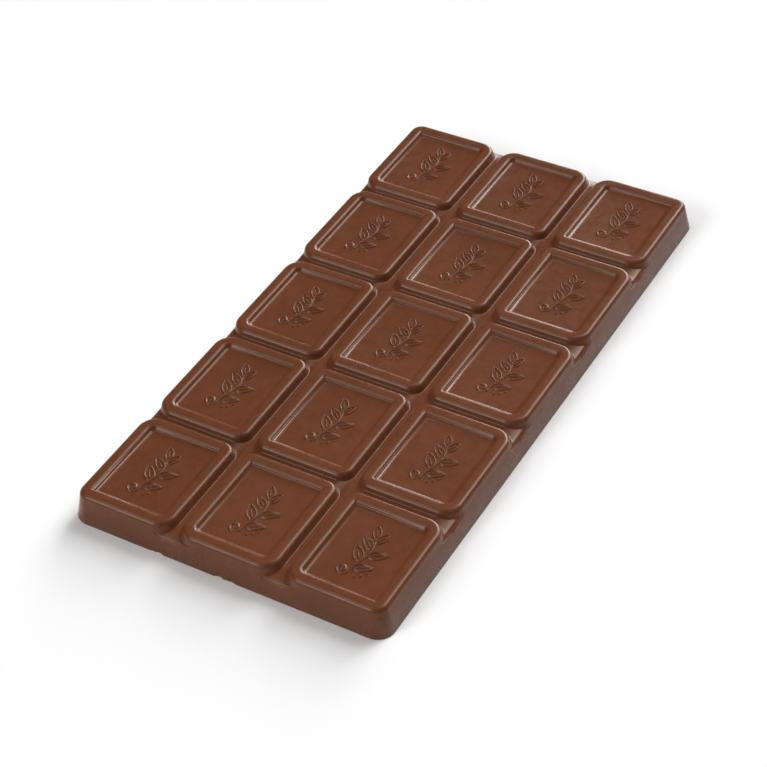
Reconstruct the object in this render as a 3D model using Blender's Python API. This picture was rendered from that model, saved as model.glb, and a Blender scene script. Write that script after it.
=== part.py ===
"""Chocolate bar of 15 pieces, cast in a mould, lying on its flat poured back.

Metres, +Z up. The origin is the centre of the flat underside. The long side
runs along Y. The whole bar is one solid: every piece is a raised block with a
rounded rim round a sunk panel, and shallow grooves part the pieces and run out
through the sides of the bar.
"""

import math

import bmesh
import bpy
from mathutils import Vector

# Layout of the pieces; the outer rows and columns are a little short outwards
COLUMNS = 3
ROWS = 5
PITCH_X = 0.02640
PITCH_Y = 0.03087
GROOVE_WIDTH_X = 0.00208
GROOVE_WIDTH_Y = 0.00170
OUTER_TRIM_X = 0.00020
OUTER_TRIM_Y = 0.00055

# Heights above the flat underside, and the groove measured down from the rim
BAR_HEIGHT = 0.00740
GROOVE_DEPTH = 0.00180
RIM_HEIGHT = 0.00100

# Section of one piece: outer rounding, flat crest and inner slope of the rim
RIM_RADIUS = 0.00125
CREST_WIDTH = 0.00095
SLOPE_ANGLE = math.radians(55.0)
SLOPE_WIDTH = 0.00200
GROOVE_FILLET = 0.00050
GROOVE_END_RADIUS = 0.00080
GROOVE_END_SHARE = 0.25
SIDE_DRAFT = math.radians(11.5)

# Corners seen from above
PIECE_CORNER_RADIUS = 0.00350
BAR_CORNER_RADIUS = 0.00300
FOOT_CORNER_RADIUS = 0.00410

# Facets; the corner steps are an even number
CORNER_STEPS = 6
RIM_STEPS = 3
SLOPE_STEPS = 1

# Small chips knocked out of the front lower edge: place along X and width
CHIPS = (
    (-0.0167, 0.0028),
    (-0.0010, 0.0026),
    (0.0017, 0.0024),
)
CHIP_DEPTH = 0.00045
CHIP_HEIGHT = 0.0011

# How closely the points on a groove's middle line gather at its end
GATHER = 1.3

# Derived sizes
RIM_FOOT_Z = BAR_HEIGHT - RIM_RADIUS
GROOVE_Z = BAR_HEIGHT - GROOVE_DEPTH
PANEL_Z = BAR_HEIGHT - RIM_HEIGHT
PIECE_HALF_X = (PITCH_X - GROOVE_WIDTH_X) / 2
PIECE_HALF_Y = (PITCH_Y - GROOVE_WIDTH_Y) / 2
BAR_HALF_X = PITCH_X * (COLUMNS - 1) / 2 + PIECE_HALF_X - OUTER_TRIM_X
BAR_HALF_Y = PITCH_Y * (ROWS - 1) / 2 + PIECE_HALF_Y - OUTER_TRIM_Y
MERGE_DISTANCE = 0.00001


def wall_offset(z):
    """How far the sloping side stands outside the rim's foot at height z."""
    return (RIM_FOOT_Z - z) * math.tan(SIDE_DRAFT)


def side_section(z):
    """Half sizes and corner radius of the bar's side at height z."""
    offset = wall_offset(z)
    share = (RIM_FOOT_Z - z) / RIM_FOOT_Z
    radius = BAR_CORNER_RADIUS + share * (FOOT_CORNER_RADIUS - BAR_CORNER_RADIUS)
    return BAR_HALF_X + offset, BAR_HALF_Y + offset, radius


def distance_inside(x, y, z):
    """Distance from a point to the bar's side at its height, positive inside."""
    half_x, half_y, radius = side_section(z)
    over_x = abs(x) - half_x + radius
    over_y = abs(y) - half_y + radius
    outside = math.hypot(max(over_x, 0.0), max(over_y, 0.0))
    return radius - outside - min(max(over_x, over_y), 0.0)


def snap_to_side(x, y, z):
    """Bring a point that lies outside the bar's side onto it."""
    half_x, half_y, radius = side_section(z)
    over_x = abs(x) - half_x + radius
    over_y = abs(y) - half_y + radius
    if over_x > 0.0 and over_y > 0.0:
        reach = math.hypot(over_x, over_y)
        if reach > radius:
            over_x *= radius / reach
            over_y *= radius / reach
    else:
        over_x = min(over_x, radius)
        over_y = min(over_y, radius)
    new_x = math.copysign(half_x - radius + over_x, x)
    new_y = math.copysign(half_y - radius + over_y, y)
    return new_x, new_y


def edge_drop(inside):
    """How far a rounded edge has fallen at a distance inside the side.

    Beyond the side, part of the distance outwards is taken down the side.
    """
    if inside < 0.0:
        return GROOVE_END_RADIUS + GROOVE_END_SHARE * min(-inside, GROOVE_WIDTH_X / 2)
    reach = max(GROOVE_END_RADIUS - inside, 0.0)
    return GROOVE_END_RADIUS - math.sqrt(GROOVE_END_RADIUS ** 2 - reach ** 2)


def piece_section():
    """Points (offset, height, in_groove) from the panel's edge out to the groove.

    The offset is measured from the outer foot of the rim, positive outwards.
    """
    points = []
    slope_radius = SLOPE_WIDTH / (2 * math.sin(SLOPE_ANGLE))
    slope_rise = 2 * slope_radius * (1 - math.cos(SLOPE_ANGLE))
    stretch = RIM_HEIGHT / slope_rise
    slope_top = -RIM_RADIUS - CREST_WIDTH
    slope_foot = slope_top - SLOPE_WIDTH
    for step in range(SLOPE_STEPS + 1):
        angle = SLOPE_ANGLE * step / SLOPE_STEPS
        rise = slope_radius * (1 - math.cos(angle)) * stretch
        points.append((slope_foot + slope_radius * math.sin(angle), PANEL_Z + rise, False))
    for step in range(SLOPE_STEPS - 1, -1, -1):
        angle = SLOPE_ANGLE * step / SLOPE_STEPS
        fall = slope_radius * (1 - math.cos(angle)) * stretch
        points.append((slope_top - slope_radius * math.sin(angle), BAR_HEIGHT - fall, False))
    for step in range(RIM_STEPS + 1):
        angle = math.pi / 2 * step / RIM_STEPS
        out = -RIM_RADIUS * (1 - math.sin(angle))
        points.append((out, RIM_FOOT_Z + RIM_RADIUS * math.cos(angle), False))
    fillet_top = GROOVE_Z + GROOVE_FILLET
    fillet_start = wall_offset(fillet_top)
    for step in range(3):
        angle = math.pi / 4 * step
        out = fillet_start + GROOVE_FILLET * (1 - math.cos(angle))
        points.append((out, fillet_top - GROOVE_FILLET * math.sin(angle), True))
    return points


def ring_position(trim, offset, step):
    """A point on the outline of a piece, at an offset from its outer foot.

    The trim holds how much shorter the piece is at its right, far, left and
    near side.
    """
    corner, part = divmod(step, CORNER_STEPS + 1)
    angle = math.pi / 2 * (corner + part / CORNER_STEPS)
    sign_x, sign_y = ((1, 1), (-1, 1), (-1, -1), (1, -1))[corner % 4]
    trim_x = trim[0 if sign_x > 0 else 2]
    trim_y = trim[1 if sign_y > 0 else 3]
    half_x = PIECE_HALF_X + offset - trim_x
    half_y = PIECE_HALF_Y + offset - trim_y
    at_bar_corner = trim_x > 0.0 and trim_y > 0.0
    radius = BAR_CORNER_RADIUS if at_bar_corner else PIECE_CORNER_RADIUS
    radius = max(radius + offset, 0.0)
    x = sign_x * (half_x - radius) + radius * math.cos(angle)
    y = sign_y * (half_y - radius) + radius * math.sin(angle)
    return x, y


def tile_position(step):
    """The matching point on the middle line of the grooves round a piece."""
    corner, part = divmod(step, CORNER_STEPS + 1)
    sign_x, sign_y = ((1, 1), (-1, 1), (-1, -1), (1, -1))[corner % 4]
    share = abs(1 - 2 * part / CORNER_STEPS) ** GATHER
    first_half = part <= CORNER_STEPS / 2
    along_y = first_half == (corner % 2 == 0)
    x = PITCH_X / 2
    y = PITCH_Y / 2
    if along_y:
        y -= share * (PIECE_CORNER_RADIUS + GROOVE_WIDTH_Y / 2)
    else:
        x -= share * (PIECE_CORNER_RADIUS + GROOVE_WIDTH_X / 2)
    return sign_x * x, sign_y * y


def settle(x, y, z, in_groove):
    """Round the groove's ends over the bar's side and keep points on that side."""
    if in_groove:
        z -= edge_drop(distance_inside(x, y, z))
    x, y = snap_to_side(x, y, z)
    return Vector((x, y, z))


def add_piece(bm, column, row):
    """One raised piece: a sheet wrapped round it, and its flat panel."""
    centre_x = PITCH_X * (column - (COLUMNS - 1) / 2)
    centre_y = PITCH_Y * (row - (ROWS - 1) / 2)
    trim = (
        OUTER_TRIM_X if column == COLUMNS - 1 else 0.0,
        OUTER_TRIM_Y if row == ROWS - 1 else 0.0,
        OUTER_TRIM_X if column == 0 else 0.0,
        OUTER_TRIM_Y if row == 0 else 0.0,
    )
    section = piece_section()
    rings = len(section)
    steps = 4 * (CORNER_STEPS + 1)
    sheet = bmesh.ops.create_grid(bm, x_segments=rings, y_segments=steps, size=1.0)
    panel_verts = set()
    for vert in sheet["verts"]:
        ring = round((vert.co.x + 1) / 2 * rings)
        step = round((vert.co.y + 1) / 2 * steps) % steps
        if ring < rings:
            offset, z, in_groove = section[ring]
            x, y = ring_position(trim, offset, step)
            if in_groove:
                drop = edge_drop(distance_inside(centre_x + x, centre_y + y, z))
                x, y = ring_position(trim, offset + drop * math.tan(SIDE_DRAFT), step)
        else:
            z = GROOVE_Z
            in_groove = True
            x, y = tile_position(step)
        vert.co = settle(centre_x + x, centre_y + y, z, in_groove)
        if ring == 0:
            panel_verts.add(vert)
    bmesh.ops.remove_doubles(bm, verts=sheet["verts"], dist=MERGE_DISTANCE)
    panel_edges = []
    for edge in bm.edges:
        if edge.is_boundary and all(vert in panel_verts for vert in edge.verts):
            panel_edges.append(edge)
    bmesh.ops.contextual_create(bm, geom=panel_edges)


def foot_position(x, y, z):
    """The point on the bar's lower edge that lies outward of a point on its side."""
    half_x, half_y, radius = side_section(z)
    over_x = max(abs(x) - half_x + radius, 0.0)
    over_y = max(abs(y) - half_y + radius, 0.0)
    outward = Vector((math.copysign(over_x, x), math.copysign(over_y, y))).normalized()
    outward *= FOOT_CORNER_RADIUS
    return snap_to_side(x + outward.x, y + outward.y, 0.0)


def add_side_and_back(bm):
    """Carry the outer edge of the top sheet down the side and close the back."""
    top_edges = [edge for edge in bm.edges if edge.is_boundary]
    lower = bmesh.ops.extrude_edge_only(bm, edges=top_edges)["geom"]
    for vert in lower:
        if isinstance(vert, bmesh.types.BMVert):
            x, y = foot_position(*vert.co)
            vert.co = (x, y, 0.0)
    back_edges = [edge for edge in bm.edges if edge.is_boundary]
    bmesh.ops.contextual_create(bm, geom=back_edges)


def add_object(name, bm, collection):
    """Turn a bmesh into an object of a collection."""
    mesh = bpy.data.meshes.new(name)
    bm.to_mesh(mesh)
    bm.free()
    new_object = bpy.data.objects.new(name, mesh)
    collection.objects.link(new_object)
    return new_object


def make_bar(collection):
    """The whole bar: its pieces in rows and columns, the side and the back."""
    bm = bmesh.new()
    for row in range(ROWS):
        for column in range(COLUMNS):
            add_piece(bm, column, row)
    bmesh.ops.remove_doubles(bm, verts=bm.verts, dist=MERGE_DISTANCE)
    add_side_and_back(bm)
    bmesh.ops.recalc_face_normals(bm, faces=bm.faces)
    return add_object("chocolate_bar", bm, collection)


def make_chip_cutters(collection):
    """Small rounded cutters along the front lower edge, joined in one object."""
    bm = bmesh.new()
    front_y = -side_section(0.0)[1]
    for place_x, width in CHIPS:
        chip = bmesh.ops.create_icosphere(bm, subdivisions=1, radius=1.0)["verts"]
        bmesh.ops.scale(bm, vec=(width / 2, CHIP_DEPTH, CHIP_HEIGHT), verts=chip)
        bmesh.ops.translate(bm, vec=(place_x, front_y, 0.0), verts=chip)
    cutters = add_object("chip_cutters", bm, collection)
    cutters.hide_render = True
    cutters.display_type = "WIRE"
    return cutters


def make_chocolate():
    """Milk chocolate with a satin surface."""
    chocolate = bpy.data.materials.new("milk_chocolate")
    chocolate.use_nodes = True
    shader = chocolate.node_tree.nodes["Principled BSDF"]
    shader.inputs["Base Color"].default_value = (0.135, 0.048, 0.022, 1.0)
    shader.inputs["Roughness"].default_value = 0.36
    shader.inputs["Metallic"].default_value = 0.0
    return chocolate


def add_collection(name):
    """A new collection under the scene's own."""
    collection = bpy.data.collections.new(name)
    bpy.context.scene.collection.children.link(collection)
    return collection


def main():
    for old_object in list(bpy.data.objects):
        bpy.data.objects.remove(old_object, do_unlink=True)
    bar = make_bar(add_collection("chocolate_bar"))
    bar.data.materials.append(make_chocolate())
    bar.data.shade_smooth()
    bar.data.set_sharp_from_angle(angle=math.radians(35.0))
    chips = bar.modifiers.new("chips", "BOOLEAN")
    chips.operation = "DIFFERENCE"
    chips.solver = "EXACT"
    chips.object = make_chip_cutters(add_collection("cutters"))


main()
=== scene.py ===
# A bar of milk chocolate: fifteen moulded pieces, each with a sunk panel and a low cast ornament.
import math
import random

import bmesh
import bpy
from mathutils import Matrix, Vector, noise


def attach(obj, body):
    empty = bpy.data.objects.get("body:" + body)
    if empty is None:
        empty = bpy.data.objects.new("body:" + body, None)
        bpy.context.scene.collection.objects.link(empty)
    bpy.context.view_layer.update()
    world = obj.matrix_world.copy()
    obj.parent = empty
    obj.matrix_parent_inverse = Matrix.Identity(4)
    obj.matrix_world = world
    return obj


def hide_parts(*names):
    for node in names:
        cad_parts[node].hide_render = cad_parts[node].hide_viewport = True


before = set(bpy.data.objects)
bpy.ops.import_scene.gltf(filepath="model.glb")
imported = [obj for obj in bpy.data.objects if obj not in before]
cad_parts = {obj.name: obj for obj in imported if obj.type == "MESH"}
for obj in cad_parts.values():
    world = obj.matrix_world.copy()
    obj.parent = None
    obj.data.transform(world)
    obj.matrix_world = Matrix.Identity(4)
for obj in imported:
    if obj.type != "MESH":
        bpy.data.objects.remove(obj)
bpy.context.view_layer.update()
print("frame loaded")

# the cast bar
# metres, degrees; the outer rows and columns are a little short outwards
bar = {
    "columns": 3,
    "rows": 5,
    "pitchX": 0.02640,
    "pitchY": 0.03087,
    "grooveWidthX": 0.00208,
    "grooveWidthY": 0.00170,
    "outerTrimX": 0.00020,
    "outerTrimY": 0.00055,
    "height": 0.00740,
    "grooveDepth": 0.00180,
    "rowGrooveDepth": 0.00145,
    "crossingStart": 0.00080,
    "crossingEnd": 0.00360,
    "rimHeight": 0.00100,
    "rimRadius": 0.00125,
    "crestWidth": 0.00095,
    "slopeAngle": 55.0,
    "slopeWidth": 0.00200,
    "grooveFillet": 0.00036,
    "filletGrowth": 0.6,
    "filletRoom": 0.55,
    "smallestFillet": 0.00008,
    # lip level, half width and lip rounding where a groove between columns or rows runs out
    "columnScoop": (0.00465, 0.00510, 0.00045),
    "rowScoop": (0.00520, 0.00560, 0.00080),
    "scoopSlope": 0.30,
    "scoopBlend": 0.00060,
    "lipSkirt": 0.00015,
    "sideDraft": 11.5,
    "grooveDraft": 24.0,
    "pieceCorner": 0.00320,
    "columnEndCorner": 0.00425,
    "rowEndCorner": 0.00450,
    "barCorner": 0.00300,
    "footCorner": 0.00410,
    "footRound": 0.00018,
    "backDish": 0.00012,
    "cornerSteps": 24,
    "slopeSteps": 6,
    "rimSteps": 9,
    "filletSteps": 5,
    "floorSteps": 10,
    "floorGather": 1.9,
    "gather": 1.3,
    "merge": 0.000004,
}
rimFoot = bar["height"] - bar["rimRadius"]
grooveLevel = bar["height"] - bar["grooveDepth"]
rowGrooveLevel = bar["height"] - bar["rowGrooveDepth"]
panelLevel = bar["height"] - bar["rimHeight"]
pieceHalfX = (bar["pitchX"] - bar["grooveWidthX"]) / 2
pieceHalfY = (bar["pitchY"] - bar["grooveWidthY"]) / 2
barHalfX = bar["pitchX"] * (bar["columns"] - 1) / 2 + pieceHalfX - bar["outerTrimX"]
barHalfY = bar["pitchY"] * (bar["rows"] - 1) / 2 + pieceHalfY - bar["outerTrimY"]
draftSlope = math.tan(math.radians(bar["sideDraft"]))


def wallOffset(z):
    return (rimFoot - z) * draftSlope


def sideSection(z):
    # half sizes and corner radius of the bar's side at a height
    offset = wallOffset(z)
    share = (rimFoot - z) / rimFoot
    radius = bar["barCorner"] + share * (bar["footCorner"] - bar["barCorner"])
    return barHalfX + offset, barHalfY + offset, radius


def distanceInside(x, y, z):
    halfX, halfY, radius = sideSection(z)
    overX = abs(x) - halfX + radius
    overY = abs(y) - halfY + radius
    outside = math.hypot(max(overX, 0.0), max(overY, 0.0))
    return radius - outside - min(max(overX, overY), 0.0)


def snapToSide(x, y, z):
    halfX, halfY, radius = sideSection(z)
    overX = abs(x) - halfX + radius
    overY = abs(y) - halfY + radius
    if overX > 0.0 and overY > 0.0:
        reach = math.hypot(overX, overY)
        if reach > radius:
            overX *= radius / reach
            overY *= radius / reach
    else:
        overX = min(overX, radius)
        overY = min(overY, radius)
    return math.copysign(halfX - radius + overX, x), math.copysign(halfY - radius + overY, y)


def nearestGroove(along, pitch, count):
    # distance to the nearest groove's middle line
    last = count / 2 - 1
    line = min(max(math.floor(along / pitch) + 0.5, -last), last)
    return abs(along - line * pitch)


def softMin(first, second, blend):
    share = min(max(0.5 + 0.5 * (second - first) / blend, 0.0), 1.0)
    return second + share * (first - second) - blend * share * (1 - share)


def grooveFloor(x, y):
    # grooves between rows are shallower; a floor falls into a scoop where it runs out at a side
    apart = nearestGroove(x, bar["pitchX"], bar["columns"]) - bar["crossingStart"]
    share = min(max(apart / (bar["crossingEnd"] - bar["crossingStart"]), 0.0), 1.0)
    level = grooveLevel + (rowGrooveLevel - grooveLevel) * share * share * (3 - 2 * share)
    for across, pitch, count, toSide, scoop in (
        (x, bar["pitchX"], bar["columns"], barHalfY + wallOffset(level) - abs(y), bar["columnScoop"]),
        (y, bar["pitchY"], bar["rows"], barHalfX + wallOffset(level) - abs(x), bar["rowScoop"]),
    ):
        lip, halfWidth, rounding = scoop
        reach = nearestGroove(across, pitch, count) / halfWidth
        lip += (rimFoot - lip) * (1 - math.sqrt(max(1 - reach ** 2, 0.0)))
        level = softMin(level, lip + bar["scoopSlope"] * max(toSide, 0.0), bar["scoopBlend"])
    return level


def surfaceLevel(x, y):
    # the groove floor, rounded over at its lip
    level = grooveFloor(x, y)
    atRowEnd = barHalfX - abs(x) < barHalfY - abs(y)
    lipRadius = bar["rowScoop" if atRowEnd else "columnScoop"][2]
    reach = min(max(lipRadius - distanceInside(x, y, level), 0.0), lipRadius)
    return level - lipRadius + math.sqrt(lipRadius ** 2 - reach ** 2)


def grooveShare(trim, step):
    # 1 where the piece faces a groove, 0 where it faces outwards
    corner, part, signX, signY, trimX, trimY, radius = cornerOf(trim, step)
    facingX = math.cos(math.pi / 2 * (corner + part / bar["cornerSteps"])) ** 2
    return facingX * (trimX == 0.0) + (1 - facingX) * (trimY == 0.0)


def wallLine(share):
    # where the rim's rounding meets the wall below it, and the wall's slope
    draft = math.radians(bar["sideDraft"] + share * (bar["grooveDraft"] - bar["sideDraft"]))
    endAngle = math.pi / 2 - share * math.radians(bar["grooveDraft"])
    out = -bar["rimRadius"] * (1 - math.sin(endAngle))
    return out, rimFoot + bar["rimRadius"] * math.cos(endAngle), draft, endAngle


def rimSection(endAngle):
    # (offset from the rim's outer foot, height) from the panel's edge out to the wall
    points = []
    slopeAngle = math.radians(bar["slopeAngle"])
    slopeRadius = bar["slopeWidth"] / (2 * math.sin(slopeAngle))
    stretch = bar["rimHeight"] / (2 * slopeRadius * (1 - math.cos(slopeAngle)))
    slopeTop = -bar["rimRadius"] - bar["crestWidth"]
    slopeFoot = slopeTop - bar["slopeWidth"]
    for step in range(bar["slopeSteps"] + 1):
        angle = slopeAngle * step / bar["slopeSteps"]
        rise = slopeRadius * (1 - math.cos(angle)) * stretch
        points.append((slopeFoot + slopeRadius * math.sin(angle), panelLevel + rise))
    for step in range(bar["slopeSteps"] - 1, -1, -1):
        angle = slopeAngle * step / bar["slopeSteps"]
        fall = slopeRadius * (1 - math.cos(angle)) * stretch
        points.append((slopeTop - slopeRadius * math.sin(angle), bar["height"] - fall))
    for step in range(bar["rimSteps"] + 1):
        angle = endAngle * step / bar["rimSteps"]
        out = -bar["rimRadius"] * (1 - math.sin(angle))
        points.append((out, rimFoot + bar["rimRadius"] * math.cos(angle)))
    return points


def cornerOf(trim, step):
    # which corner of the piece a step is at, its signs, trims and radius
    corner, part = divmod(step, bar["cornerSteps"] + 1)
    signX, signY = ((1, 1), (-1, 1), (-1, -1), (1, -1))[corner % 4]
    trimX = trim[0 if signX > 0 else 2]
    trimY = trim[1 if signY > 0 else 3]
    if trimX > 0.0:
        radius = bar["barCorner" if trimY > 0.0 else "rowEndCorner"]
    else:
        radius = bar["columnEndCorner" if trimY > 0.0 else "pieceCorner"]
    return corner, part, signX, signY, trimX, trimY, radius


def ringPosition(trim, offset, step):
    # a point on the piece's outline, at an offset from the rim's outer foot
    corner, part, signX, signY, trimX, trimY, radius = cornerOf(trim, step)
    angle = math.pi / 2 * (corner + part / bar["cornerSteps"])
    radius = max(radius + offset, 0.0)
    x = signX * (pieceHalfX + offset - trimX - radius) + radius * math.cos(angle)
    y = signY * (pieceHalfY + offset - trimY - radius) + radius * math.sin(angle)
    return x, y


def edgePosition(trim, step):
    # the matching point on the grooves' middle line or on the bar's side, and whether it is on the side
    corner, part, signX, signY, trimX, trimY, radius = cornerOf(trim, step)
    lowest = bar["columnScoop"][0] - bar["columnScoop"][2] - bar["lipSkirt"]
    outerX = trimX > 0.0
    outerY = trimY > 0.0
    if outerX and outerY:
        return (*ringPosition(trim, wallOffset(lowest), step), True)
    edgeX = pieceHalfX - trimX + wallOffset(lowest) if outerX else bar["pitchX"] / 2
    edgeY = pieceHalfY - trimY + wallOffset(lowest) if outerY else bar["pitchY"] / 2
    share = abs(1 - 2 * part / bar["cornerSteps"]) ** bar["gather"]
    atCorner = 2 * part == bar["cornerSteps"]
    alongY = (2 * part < bar["cornerSteps"]) == (corner % 2 == 0)
    if alongY:
        y = edgeY - share * (edgeY - pieceHalfY + trimY + radius)
        return signX * edgeX, signY * y, outerX or (atCorner and outerY)
    x = edgeX - share * (edgeX - pieceHalfX + trimX + radius)
    return signX * x, signY * edgeY, outerY or (atCorner and outerX)


def lineOfPoints(centreX, centreY, trim, step):
    # every point of one step, from the panel's edge out to the middle of the groove or the side
    points = []
    wallOut, wallTop, draft, endAngle = wallLine(grooveShare(trim, step))
    for offset, z in rimSection(endAngle):
        x, y = ringPosition(trim, offset, step)
        points.append(Vector((centreX + x, centreY + y, z)))

    def wallAt(z):
        return wallOut + (wallTop - z) * math.tan(draft)

    x, y = ringPosition(trim, wallAt(grooveLevel), step)
    level = surfaceLevel(centreX + x, centreY + y)
    x, y = ringPosition(trim, wallAt(level + bar["grooveFillet"]), step)
    level = surfaceLevel(centreX + x, centreY + y)
    room = distanceInside(centreX + x, centreY + y, level + bar["grooveFillet"])
    fillet = bar["grooveFillet"] + bar["filletGrowth"] * max(grooveLevel - level, 0.0)
    fillet = min(fillet, wallTop - level, bar["filletRoom"] * room)
    fillet = max(fillet, bar["smallestFillet"])
    start = wallAt(level + fillet * (1 - math.sin(draft)))
    for turn in range(bar["filletSteps"] + 1):
        angle = draft + (math.pi / 2 - draft) * turn / bar["filletSteps"]
        offset = start + fillet * (math.cos(draft) - math.cos(angle))
        x, y = ringPosition(trim, offset, step)
        z = surfaceLevel(centreX + x, centreY + y) + fillet * (1 - math.sin(angle))
        x, y = snapToSide(centreX + x, centreY + y, z)
        points.append(Vector((x, y, z)))
    edgeX, edgeY, onSide = edgePosition(trim, step)
    last = points[-1]
    skirt = bar["lipSkirt"] if onSide else 0.0
    for turn in range(1, bar["floorSteps"] + 1):
        share = 1 - (1 - turn / bar["floorSteps"]) ** bar["floorGather"]
        x = last.x + share * (centreX + edgeX - last.x)
        y = last.y + share * (centreY + edgeY - last.y)
        z = surfaceLevel(x, y) - skirt * (turn / bar["floorSteps"]) ** 2
        x, y = snapToSide(x, y, z)
        points.append(Vector((x, y, z)))
    return points


def addPiece(bm, column, row):
    # a sheet wrapped round the piece: rings run outwards, steps run round it
    centreX = bar["pitchX"] * (column - (bar["columns"] - 1) / 2)
    centreY = bar["pitchY"] * (row - (bar["rows"] - 1) / 2)
    trim = (
        bar["outerTrimX"] if column == bar["columns"] - 1 else 0.0,
        bar["outerTrimY"] if row == bar["rows"] - 1 else 0.0,
        bar["outerTrimX"] if column == 0 else 0.0,
        bar["outerTrimY"] if row == 0 else 0.0,
    )
    steps = 4 * (bar["cornerSteps"] + 1)
    lines = [lineOfPoints(centreX, centreY, trim, step) for step in range(steps)]
    rings = len(lines[0]) - 1
    sheet = bmesh.ops.create_grid(bm, x_segments=rings, y_segments=steps, size=1.0)
    panelVerts = set()
    for vert in sheet["verts"]:
        ring = round((vert.co.x + 1) / 2 * rings)
        step = round((vert.co.y + 1) / 2 * steps) % steps
        vert.co = lines[step][ring]
        if ring == 0:
            panelVerts.add(vert)
    bmesh.ops.remove_doubles(bm, verts=sheet["verts"], dist=bar["merge"])
    panelEdges = [
        edge for edge in bm.edges
        if edge.is_boundary and all(vert in panelVerts for vert in edge.verts)
    ]
    bmesh.ops.contextual_create(bm, geom=panelEdges)


def footPosition(x, y, z, level):
    # the point on the side at a lower level that lies outward of a point on it
    halfX, halfY, radius = sideSection(z)
    overX = max(abs(x) - halfX + radius, 0.0)
    overY = max(abs(y) - halfY + radius, 0.0)
    outward = Vector((math.copysign(overX, x), math.copysign(overY, y))).normalized()
    outward *= bar["footCorner"]
    return snapToSide(x + outward.x, y + outward.y, level)


def extendOutline(bm, place):
    # extrudes the open outline and puts each new point where place() says
    openEdges = [edge for edge in bm.edges if edge.is_boundary]
    for vert in bmesh.ops.extrude_edge_only(bm, edges=openEdges)["geom"]:
        if isinstance(vert, bmesh.types.BMVert):
            vert.co = place(*vert.co)


def addSideAndBack(bm):
    rounding = bar["footRound"]

    def toFoot(x, y, z):
        return Vector((*footPosition(x, y, z, rounding), rounding))

    def inwards(inset, level):
        def place(x, y, z):
            shrinkX = 1 - inset / (barHalfX + wallOffset(0.0))
            shrinkY = 1 - inset / (barHalfY + wallOffset(0.0))
            return Vector((x * shrinkX, y * shrinkY, level))
        return place

    extendOutline(bm, toFoot)
    extendOutline(bm, inwards(rounding * 0.3, rounding * 0.3))
    extendOutline(bm, inwards(rounding * 0.7, 0.0))
    extendOutline(bm, inwards(0.0011, 0.0))
    extendOutline(bm, inwards(0.0009, bar["backDish"] * 0.35))
    extendOutline(bm, inwards(0.0012, bar["backDish"]))
    bmesh.ops.contextual_create(bm, geom=[edge for edge in bm.edges if edge.is_boundary])


def addObject(name, bm, materials):
    mesh = bpy.data.meshes.new(name)
    bm.to_mesh(mesh)
    bm.free()
    for material in materials:
        mesh.materials.append(material)
    newObject = bpy.data.objects.new(name, mesh)
    bpy.context.scene.collection.objects.link(newObject)
    return newObject


def makeBar(materials):
    bm = bmesh.new()
    for row in range(bar["rows"]):
        for column in range(bar["columns"]):
            addPiece(bm, column, row)
    bmesh.ops.remove_doubles(bm, verts=bm.verts, dist=bar["merge"])
    addSideAndBack(bm)
    bmesh.ops.recalc_face_normals(bm, faces=bm.faces)
    return addObject("castChocolateBar", bm, materials)


# chips along the front lower edge
# place along X, width, depth and height of each
chips = {
    "marks": (
        (-0.0178, 0.0017, 0.00030, 0.0008),
        (-0.0164, 0.0022, 0.00042, 0.0011),
        (-0.0011, 0.0022, 0.00046, 0.0011),
        (0.0008, 0.0016, 0.00030, 0.0007),
        (0.0020, 0.0021, 0.00036, 0.0009),
    ),
    "roughness": 0.16,
    "seed": 7,
}


def makeChipCutter(material, placeX, width, depth, height):
    bm = bmesh.new()
    chip = bmesh.ops.create_icosphere(bm, subdivisions=4, radius=1.0)["verts"]
    shift = Vector([random.uniform(-9.0, 9.0) for axis in range(3)])
    for vert in chip:
        vert.co *= 1 + chips["roughness"] * noise.fractal(vert.co * 1.7 + shift, 0.9, 2.0, 4)
    bmesh.ops.scale(bm, vec=(width / 2, depth, height), verts=chip)
    bmesh.ops.translate(bm, vec=(placeX, -sideSection(0.0)[1], 0.0), verts=chip)
    return addObject("chipCutter", bm, [material])


def cutChips(target, material):
    random.seed(chips["seed"])
    cutters = [makeChipCutter(material, *mark) for mark in chips["marks"]]
    for cutter in cutters:
        cut = target.modifiers.new("chip", "BOOLEAN")
        cut.operation = "DIFFERENCE"
        cut.solver = "EXACT"
        cut.material_mode = "TRANSFER"
        cut.object = cutter
    bpy.context.view_layer.update()
    evaluated = target.evaluated_get(bpy.context.evaluated_depsgraph_get())
    mesh = bpy.data.meshes.new_from_object(evaluated)
    target.modifiers.clear()
    bm = bmesh.new()
    bm.from_mesh(mesh)
    bmesh.ops.remove_doubles(bm, verts=bm.verts, dist=bar["merge"] / 2)
    bmesh.ops.dissolve_degenerate(bm, dist=bar["merge"] / 2, edges=bm.edges)
    bm.to_mesh(mesh)
    bm.free()
    target.data = mesh
    for cutter in cutters:
        bpy.data.objects.remove(cutter, do_unlink=True)


# materials
# linear colours
chocolate = {
    "deep": (0.117, 0.0370, 0.0150),
    "warm": (0.145, 0.0470, 0.0200),
    "bloom": (0.180, 0.082, 0.050),
    "broken": (0.165, 0.066, 0.036),
    "sheen": (1.0, 0.83, 0.72),
    "specular": 0.36,
    "roughness": 0.29,
}


def newGroup(name, inputs, outputs):
    group = bpy.data.node_groups.new(name, "ShaderNodeTree")
    for socketName, kind, value in inputs:
        socket = group.interface.new_socket(socketName, in_out="INPUT", socket_type=kind)
        socket.default_value = value
    for socketName, kind in outputs:
        group.interface.new_socket(socketName, in_out="OUTPUT", socket_type=kind)
    return group, group.nodes.new("NodeGroupInput"), group.nodes.new("NodeGroupOutput")


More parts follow.
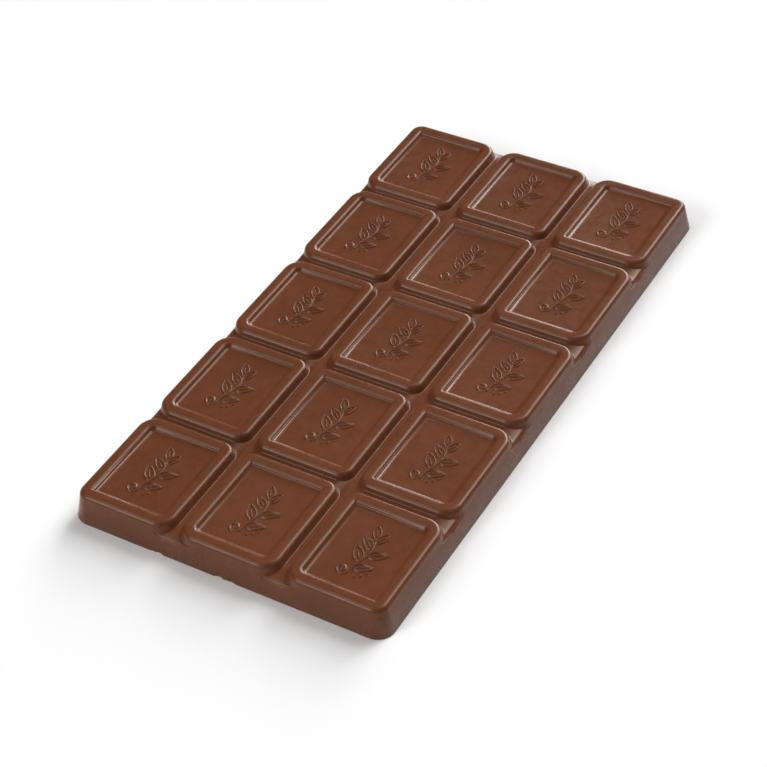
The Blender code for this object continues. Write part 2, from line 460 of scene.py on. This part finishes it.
def addNoise(tree, vector, scale, detail, roughness=0.5, distortion=0.0):
    node = tree.nodes.new("ShaderNodeTexNoise")
    node.inputs["Scale"].default_value = scale
    node.inputs["Detail"].default_value = detail
    node.inputs["Roughness"].default_value = roughness
    node.inputs["Distortion"].default_value = distortion
    tree.links.new(vector, node.inputs["Vector"])
    return node.outputs["Fac"]


def addRange(tree, value, low, high, toLow, toHigh, smooth=True):
    node = tree.nodes.new("ShaderNodeMapRange")
    node.interpolation_type = "SMOOTHSTEP" if smooth else "LINEAR"
    node.inputs["From Min"].default_value = low
    node.inputs["From Max"].default_value = high
    node.inputs["To Min"].default_value = toLow
    node.inputs["To Max"].default_value = toHigh
    tree.links.new(value, node.inputs["Value"])
    return node.outputs["Result"]


def addMath(tree, operation, first, second):
    node = tree.nodes.new("ShaderNodeMath")
    node.operation = operation
    for socket, value in zip(node.inputs, (first, second)):
        if isinstance(value, (int, float)):
            socket.default_value = value
        else:
            tree.links.new(value, socket)
    return node.outputs["Value"]


def addMix(tree, share, first, second):
    node = tree.nodes.new("ShaderNodeMix")
    node.data_type = "RGBA"
    for socket, value in ((node.inputs[0], share), (node.inputs[6], first), (node.inputs[7], second)):
        if isinstance(value, (int, float)):
            socket.default_value = value
        elif isinstance(value, tuple):
            socket.default_value = (*value, 1.0)
        else:
            tree.links.new(value, socket)
    return node.outputs[2]


def makeCocoaGroup():
    # cocoa tone, gloss and surface height of cast chocolate, all in object space
    group, given, result = newGroup(
        "cocoaSurface",
        (
            ("Deep", "NodeSocketColor", (0.1, 0.04, 0.02, 1.0)),
            ("Warm", "NodeSocketColor", (0.2, 0.08, 0.04, 1.0)),
            ("Bloom Colour", "NodeSocketColor", (0.3, 0.2, 0.1, 1.0)),
            ("Bloom", "NodeSocketFloat", 0.3),
            ("Roughness", "NodeSocketFloat", 0.4),
            ("Grain", "NodeSocketFloat", 1.0),
        ),
        (
            ("Colour", "NodeSocketColor"),
            ("Roughness", "NodeSocketFloat"),
            ("Height", "NodeSocketFloat"),
        ),
    )
    place = group.nodes.new("ShaderNodeTexCoord").outputs["Object"]
    clouds = addRange(group, addNoise(group, place, 55.0, 3.0), 0.3, 0.7, 0.0, 1.0)
    mottle = addRange(group, addNoise(group, place, 420.0, 4.0, 0.6), 0.3, 0.7, 0.0, 1.0)
    tone = addMath(group, "ADD", addMath(group, "MULTIPLY", clouds, 0.55), addMath(group, "MULTIPLY", mottle, 0.45))
    body = addMix(group, tone, (0.1, 0.1, 0.1), (0.1, 0.1, 0.1))
    mix = body.node
    group.links.new(given.outputs["Deep"], mix.inputs[6])
    group.links.new(given.outputs["Warm"], mix.inputs[7])

    # faint dusty bloom in soft patches and a few fine specks
    patches = addRange(group, addNoise(group, place, 130.0, 6.0, 0.62, 0.3), 0.52, 0.78, 0.0, 1.0)
    specks = addRange(group, addNoise(group, place, 2600.0, 2.0, 0.5), 0.70, 0.78, 0.0, 0.8)
    veil = addMath(group, "MAXIMUM", patches, addMath(group, "MULTIPLY", specks, patches))
    share = addMath(group, "MULTIPLY", veil, given.outputs["Bloom"])
    colour = addMix(group, share, body, (0.1, 0.1, 0.1))
    group.links.new(given.outputs["Bloom Colour"], colour.node.inputs[7])
    group.links.new(colour, result.inputs["Colour"])

    gloss = addRange(group, addNoise(group, place, 300.0, 4.0, 0.6), 0.25, 0.75, -0.05, 0.05)
    rough = addMath(group, "ADD", given.outputs["Roughness"], gloss)
    group.links.new(addMath(group, "ADD", rough, addMath(group, "MULTIPLY", share, 0.25)), result.inputs["Roughness"])

    # slow ripples, fine grain and rare pinholes
    ripple = addNoise(group, place, 260.0, 2.0)
    grain = addNoise(group, place, 2200.0, 3.0, 0.6)
    pinholes = group.nodes.new("ShaderNodeTexVoronoi")
    pinholes.inputs["Scale"].default_value = 330.0
    group.links.new(place, pinholes.inputs["Vector"])
    holes = addRange(group, pinholes.outputs["Distance"], 0.0, 0.10, -1.0, 0.0)
    rare = addRange(group, addNoise(group, place, 170.0, 0.0), 0.70, 0.74, 0.0, 1.0)
    height = addMath(group, "ADD", ripple, addMath(group, "MULTIPLY", grain, addMath(group, "MULTIPLY", given.outputs["Grain"], 0.16)))
    height = addMath(group, "ADD", height, addMath(group, "MULTIPLY", holes, addMath(group, "MULTIPLY", rare, 0.08)))
    group.links.new(height, result.inputs["Height"])
    return group


def makeChocolate(name, group, looks):
    material = bpy.data.materials.new(name)
    material.use_nodes = True
    tree = material.node_tree
    shader = tree.nodes["Principled BSDF"]
    shader.inputs["Metallic"].default_value = 0.0
    shader.inputs["IOR"].default_value = 1.46
    shader.inputs["Specular IOR Level"].default_value = chocolate["specular"]
    shader.inputs["Specular Tint"].default_value = (*chocolate["sheen"], 1.0)
    cocoa = tree.nodes.new("ShaderNodeGroup")
    cocoa.node_tree = group
    cocoa.inputs["Deep"].default_value = (*looks["deep"], 1.0)
    cocoa.inputs["Warm"].default_value = (*looks["warm"], 1.0)
    cocoa.inputs["Bloom Colour"].default_value = (*looks["bloomColour"], 1.0)
    cocoa.inputs["Bloom"].default_value = looks["bloom"]
    cocoa.inputs["Roughness"].default_value = looks["roughness"]
    cocoa.inputs["Grain"].default_value = looks["grain"]
    tree.links.new(cocoa.outputs["Colour"], shader.inputs["Base Color"])
    tree.links.new(cocoa.outputs["Roughness"], shader.inputs["Roughness"])
    bump = tree.nodes.new("ShaderNodeBump")
    bump.inputs["Strength"].default_value = looks["bump"]
    bump.inputs["Distance"].default_value = looks["bumpDistance"]
    tree.links.new(cocoa.outputs["Height"], bump.inputs["Height"])
    tree.links.new(bump.outputs["Normal"], shader.inputs["Normal"])
    return material


cocoaGroup = makeCocoaGroup()
castChocolate = makeChocolate("castChocolate", cocoaGroup, {
    "deep": chocolate["deep"],
    "warm": chocolate["warm"],
    "bloomColour": chocolate["bloom"],
    "bloom": 0.08,
    "roughness": chocolate["roughness"],
    "grain": 1.0,
    "bump": 0.32,
    "bumpDistance": 0.00012,
})
brokenChocolate = makeChocolate("brokenChocolate", cocoaGroup, {
    "deep": chocolate["warm"],
    "warm": chocolate["broken"],
    "bloomColour": chocolate["bloom"],
    "bloom": 0.5,
    "roughness": 0.62,
    "grain": 3.0,
    "bump": 0.7,
    "bumpDistance": 0.00018,
})
print("materials made")

castBar = makeBar([castChocolate, brokenChocolate])
cutChips(castBar, brokenChocolate)
castBar.data.shade_smooth()
castBar.data.set_sharp_from_angle(angle=math.radians(50.0))
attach(castBar, "root")
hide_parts("chocolate_bar")
print("bar made:", len(castBar.data.polygons), "faces")

# ornament cast on every panel
# millimetres from the panel's centre: a leafy sprig with a curled foot
ornament = {
    "stem": {"low": -6.9, "high": 4.3, "sway": 0.80, "width": 0.40, "along": 40},
    "curl": {"centre": (-2.25, -5.80), "eye": 0.40, "turns": 1.35, "width": 0.44, "along": 44},
    # share along the stem, turn in degrees, length and bulge
    "leaves": (
        (0.20, -58.0, 4.7, 1.02),
        (0.38, 55.0, 5.0, 1.06),
        (0.56, -52.0, 4.8, 1.02),
        (0.74, 50.0, 4.4, 0.94),
        (0.90, -38.0, 3.9, 0.84),
        (1.00, 6.0, 4.2, 0.88),
    ),
    "leafWidth": 0.34,
    "veinWidth": 0.28,
    "beads": ((2.25, -6.0, 0.40), (3.15, -4.95, 0.33), (1.15, -6.75, 0.33)),
    "height": 0.27,
    "sink": 0.02,
    "topSteps": 8,
}


def stemPath(share):
    stem = ornament["stem"]
    x = stem["sway"] * math.sin(math.pi * (1.5 * share - 0.55))
    return Vector((x, stem["low"] + (stem["high"] - stem["low"]) * share))


def scrollPath(centre, eye, end, turns):
    # a spiral that grows evenly from its eye to its end
    spanX = end[0] - centre[0]
    spanY = end[1] - centre[1]
    sweep = turns * 2 * math.pi
    start = math.atan2(spanY, spanX) - sweep
    growth = math.log(math.hypot(spanX, spanY) / eye)

    def path(share):
        radius = eye * math.exp(growth * share)
        angle = start + sweep * share
        return Vector((centre[0] + radius * math.cos(angle), centre[1] + radius * math.sin(angle)))
    return path


def leafPath(base, heading, length, bulge):
    # one edge of a leaf; no bulge gives its vein
    across = Vector((-heading.y, heading.x))

    def path(share):
        return base + heading * (length * share) + across * (bulge * math.sin(math.pi * share ** 0.8))
    return path


def taper(start, end, power=0.5):
    # full in the middle, narrowing to a point at both ends
    def width(share):
        ends = min(share / start, (1 - share) / end, 1.0)
        return math.sin(math.pi / 2 * ends) ** power
    return width


def addStroke(bm, path, taperAt, halfWidth, along):
    # a raised line with soft feet, closed underneath
    topSteps = ornament["topSteps"]
    around = topSteps + 2
    sheet = bmesh.ops.create_grid(bm, x_segments=along, y_segments=around, size=1.0)
    for vert in sheet["verts"]:
        share = round((vert.co.x + 1) / 2 * along) / along
        turn = round((vert.co.y + 1) / 2 * around) % around
        middle = path(share)
        ahead = (path(min(share + 0.002, 1.0)) - path(max(share - 0.002, 0.0))).normalized()
        full = taperAt(share)
        across = 2 * turn / topSteps - 1 if turn <= topSteps else 0.0
        level = ornament["height"] * min(full * 1.15, 1.0) * math.cos(math.pi / 2 * across) ** 2
        if turn > topSteps:
            level = -0.1 * full
        offset = across * halfWidth * full
        vert.co = Vector((middle.x - ahead.y * offset, middle.y + ahead.x * offset, level - ornament["sink"]))
    bmesh.ops.remove_doubles(bm, verts=sheet["verts"], dist=0.002)


def addSprig(bm):
    stem = ornament["stem"]
    addStroke(bm, stemPath, taper(0.05, 0.25), stem["width"], stem["along"])
    curl = ornament["curl"]
    path = scrollPath(curl["centre"], curl["eye"], stemPath(0.03), curl["turns"])
    addStroke(bm, path, taper(0.12, 0.30), curl["width"], curl["along"])
    for share, turn, length, bulge in ornament["leaves"]:
        base = stemPath(share)
        heading = (stemPath(min(share + 0.01, 1.0)) - stemPath(share - 0.01)).normalized()
        angle = math.radians(turn)
        heading = Vector((
            heading.x * math.cos(angle) - heading.y * math.sin(angle),
            heading.x * math.sin(angle) + heading.y * math.cos(angle),
        ))
        for side in (bulge, -bulge):
            addStroke(bm, leafPath(base, heading, length, side), taper(0.15, 0.2), ornament["leafWidth"], 22)
        vein = leafPath(base + heading * 0.5, heading, length * 0.62, 0.0)
        addStroke(bm, vein, taper(0.3, 0.6), ornament["veinWidth"], 12)
    for beadX, beadY, size in ornament["beads"]:
        bead = leafPath(Vector((beadX, beadY - size)), Vector((0.0, 1.0)), 2 * size, 0.0)
        addStroke(bm, bead, taper(0.5, 0.5), size, 12)


def makeOrnaments(material):
    bm = bmesh.new()
    addSprig(bm)
    bmesh.ops.recalc_face_normals(bm, faces=bm.faces)
    bmesh.ops.scale(bm, vec=(0.001, 0.001, 0.001), verts=bm.verts)
    bmesh.ops.translate(bm, vec=(0.0, 0.0, panelLevel), verts=bm.verts)
    first = list(bm.verts) + list(bm.edges) + list(bm.faces)
    places = [(column, row) for row in range(bar["rows"]) for column in range(bar["columns"])]
    for column, row in places:
        copied = bmesh.ops.duplicate(bm, geom=first)["geom"]
        shift = (
            bar["pitchX"] * (column - (bar["columns"] - 1) / 2),
            bar["pitchY"] * (row - (bar["rows"] - 1) / 2),
            0.0,
        )
        copiedVerts = [part for part in copied if isinstance(part, bmesh.types.BMVert)]
        bmesh.ops.translate(bm, vec=shift, verts=copiedVerts)
    bmesh.ops.delete(bm, geom=[part for part in first if isinstance(part, bmesh.types.BMVert)], context="VERTS")
    return addObject("castOrnaments", bm, [material])


ornaments = makeOrnaments(castChocolate)
ornaments.data.shade_smooth()
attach(ornaments, "root")
print("ornaments made:", len(ornaments.data.polygons), "faces")

# studio
studio = {
    "floorSize": 4.0,
    "floorColour": (0.90, 0.90, 0.90),
    "world": 0.03,
    "softness": 28.0,
    # bearing from the bar's far end, clockwise from above, then height, both in degrees, then strength
    "lamps": {
        "farRight": (22.0, 47.0, 1.20),
        "farMiddle": (10.0, 28.0, 1.50),
        "farLow": (352.0, 11.0, 1.40),
        "farHigh": (0.0, 60.0, 0.40),
        "nearLeft": (210.0, 33.0, 1.30),
        "nearLeftHigh": (240.0, 63.0, 0.50),
        "nearLow": (180.0, 20.0, 0.22),
    },
}


def makeFloor():
    bm = bmesh.new()
    bmesh.ops.create_grid(bm, x_segments=1, y_segments=1, size=studio["floorSize"] / 2)
    material = bpy.data.materials.new("paleFloor")
    material.use_nodes = True
    shader = material.node_tree.nodes["Principled BSDF"]
    shader.inputs["Base Color"].default_value = (*studio["floorColour"], 1.0)
    shader.inputs["Roughness"].default_value = 0.7
    floor = addObject("paleFloor", bm, [material])
    return floor


def addLamp(name, bearing, height, strength):
    # a broad soft light from one direction
    light = bpy.data.lights.new(name, "SUN")
    light.energy = strength
    light.angle = math.radians(studio["softness"])
    lamp = bpy.data.objects.new(name, light)
    lamp.rotation_euler = (math.radians(90.0 - height), 0.0, math.radians(180.0 - bearing))
    bpy.context.scene.collection.objects.link(lamp)
    return lamp


makeFloor()
world = bpy.data.worlds.new("studioWorld")
world.use_nodes = True
world.node_tree.nodes["Background"].inputs["Color"].default_value = (1.0, 1.0, 1.0, 1.0)
world.node_tree.nodes["Background"].inputs["Strength"].default_value = studio["world"]
bpy.context.scene.world = world
for lampName, (bearing, height, strength) in studio["lamps"].items():
    addLamp(lampName, bearing, height, strength)

# camera
view = {
    "position": (0.196276, -0.313302, 0.328350),
    "right": (0.865432, 0.497873, -0.056124),
    "up": (-0.299314, 0.603588, 0.738981),
    "lens": 99.73,
}


def makeCamera():
    right = Vector(view["right"]).normalized()
    up = Vector(view["up"])
    back = right.cross(up).normalized()
    up = back.cross(right)
    camera = bpy.data.objects.new("studioCamera", bpy.data.cameras.new("studioCamera"))
    camera.data.sensor_width = 36.0
    camera.data.lens = view["lens"]
    camera.data.clip_start = 0.01
    matrix = camera.matrix_world.copy()
    for row in range(3):
        matrix[row][0] = right[row]
        matrix[row][1] = up[row]
        matrix[row][2] = back[row]
        matrix[row][3] = view["position"][row]
    camera.matrix_world = matrix
    bpy.context.scene.collection.objects.link(camera)
    bpy.context.scene.camera = camera


makeCamera()
bpy.context.scene.view_settings.view_transform = "Standard"
print("studio and camera made")
